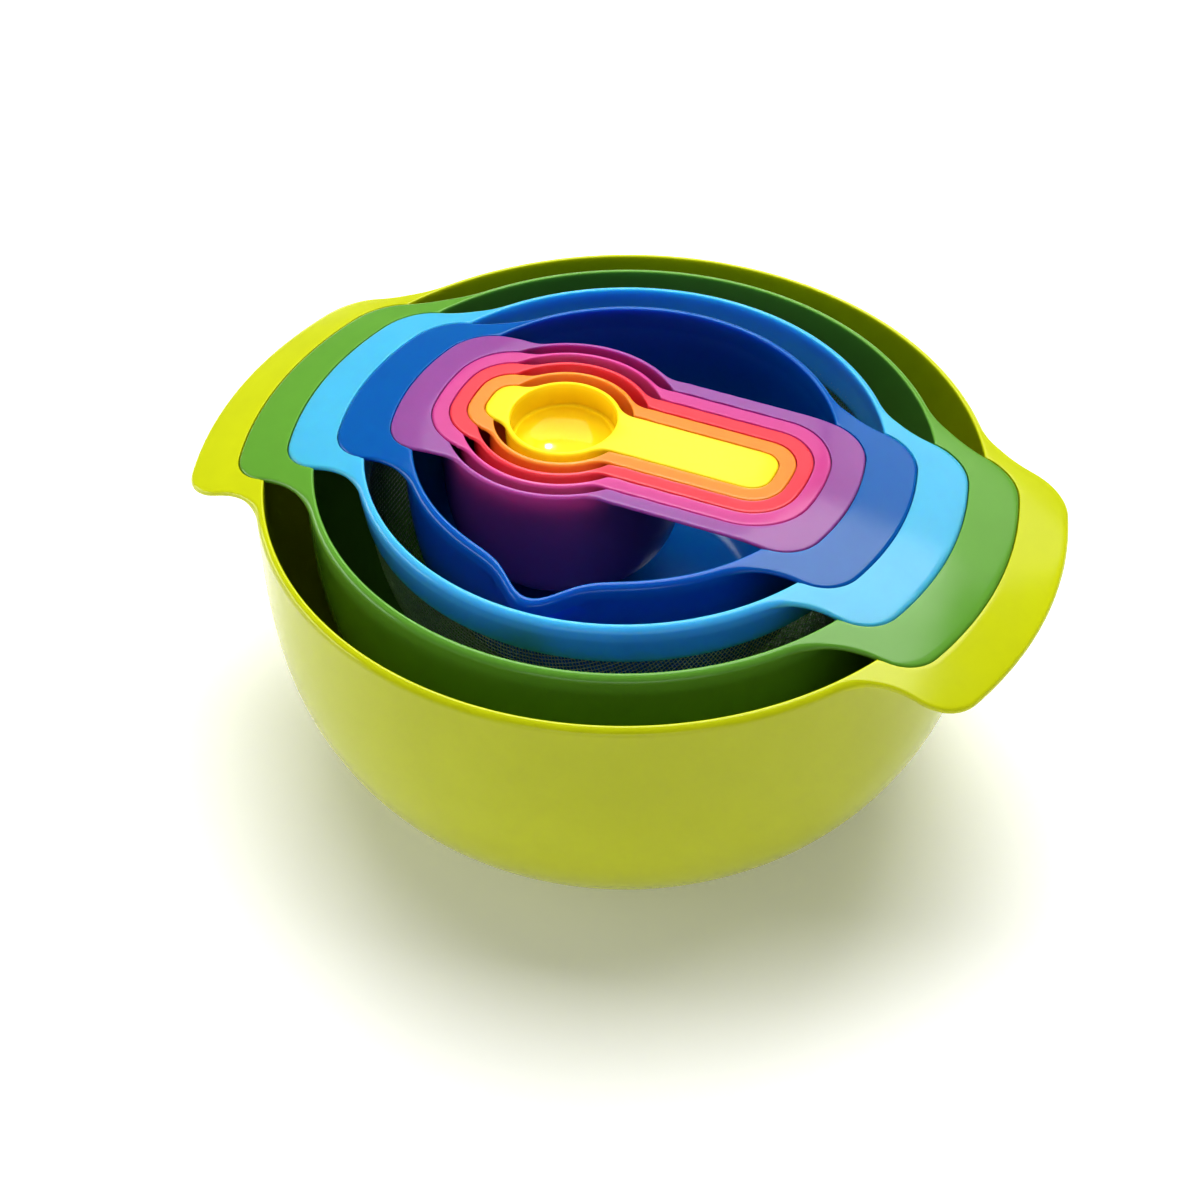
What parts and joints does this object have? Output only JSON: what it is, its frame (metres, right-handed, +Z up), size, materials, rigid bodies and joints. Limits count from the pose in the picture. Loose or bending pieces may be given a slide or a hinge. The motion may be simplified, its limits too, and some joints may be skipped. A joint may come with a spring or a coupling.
{
  "type": "nesting bowl and measuring cup set",
  "caption": "Round handled bowls, a colander, a mesh sieve and measuring cups that nest flush in one another under a shallow domed top of handles.",
  "frame": {"origin": "on the table, under the middle of the mixing bowl", "axes": "+X along the handles, towards the long handles of the measuring cups; +Z up; the measuring bowl pours towards -Y"},
  "size_m": [0.3184, 0.2656, 0.1417],
  "materials": {
    "lime_plastic": "satin gloss, moulded",
    "lime_rubber": "matt",
    "green_plastic": "satin gloss, moulded",
    "sky_plastic": "satin gloss, moulded",
    "steel_mesh": "woven wire",
    "navy_plastic": "satin gloss, moulded",
    "navy_rubber": "matt",
    "purple_plastic": "satin gloss, moulded",
    "pink_plastic": "satin gloss, moulded",
    "red_plastic": "satin gloss, moulded",
    "orange_plastic": "satin gloss, moulded",
    "yellow_plastic": "satin gloss, moulded"
  },
  "bodies": {
    "mixing_bowl": {"mixing_bowl": "lime_plastic", "mixing_bowl_base_ring": "lime_rubber"},
    "colander": {"colander": "green_plastic"},
    "sieve": {"sieve_frame": "sky_plastic", "sieve_mesh": "steel_mesh"},
    "measuring_bowl": {"measuring_bowl": "navy_plastic", "measuring_bowl_base_ring": "navy_rubber"},
    "one_cup": {"one_cup": "purple_plastic"},
    "half_cup": {"half_cup": "pink_plastic"},
    "third_cup": {"third_cup": "red_plastic"},
    "quarter_cup": {"quarter_cup": "orange_plastic"},
    "tablespoon": {"tablespoon": "yellow_plastic"}
  },
  "joints": [
    {"name": "colander_lift", "type": "slide", "parent": "mixing_bowl", "child": "colander", "axis": [0, 0, 1], "range_m": [0, 0.11]},
    {"name": "sieve_lift", "type": "slide", "parent": "colander", "child": "sieve", "axis": [0, 0, 1], "range_m": [0, 0.095]},
    {"name": "measuring_bowl_lift", "type": "slide", "parent": "sieve", "child": "measuring_bowl", "axis": [0, 0, 1], "range_m": [0, 0.08]},
    {"name": "one_cup_lift", "type": "slide", "parent": "measuring_bowl", "child": "one_cup", "axis": [0, 0, 1], "range_m": [0, 0.06]},
    {"name": "half_cup_lift", "type": "slide", "parent": "one_cup", "child": "half_cup", "axis": [0, 0, 1], "range_m": [0, 0.052]},
    {"name": "third_cup_lift", "type": "slide", "parent": "half_cup", "child": "third_cup", "axis": [0, 0, 1], "range_m": [0, 0.046]},
    {"name": "quarter_cup_lift", "type": "slide", "parent": "third_cup", "child": "quarter_cup", "axis": [0, 0, 1], "range_m": [0, 0.038]},
    {"name": "tablespoon_lift", "type": "slide", "parent": "quarter_cup", "child": "tablespoon", "axis": [0, 0, 1], "range_m": [0, 0.022]}
  ]
}
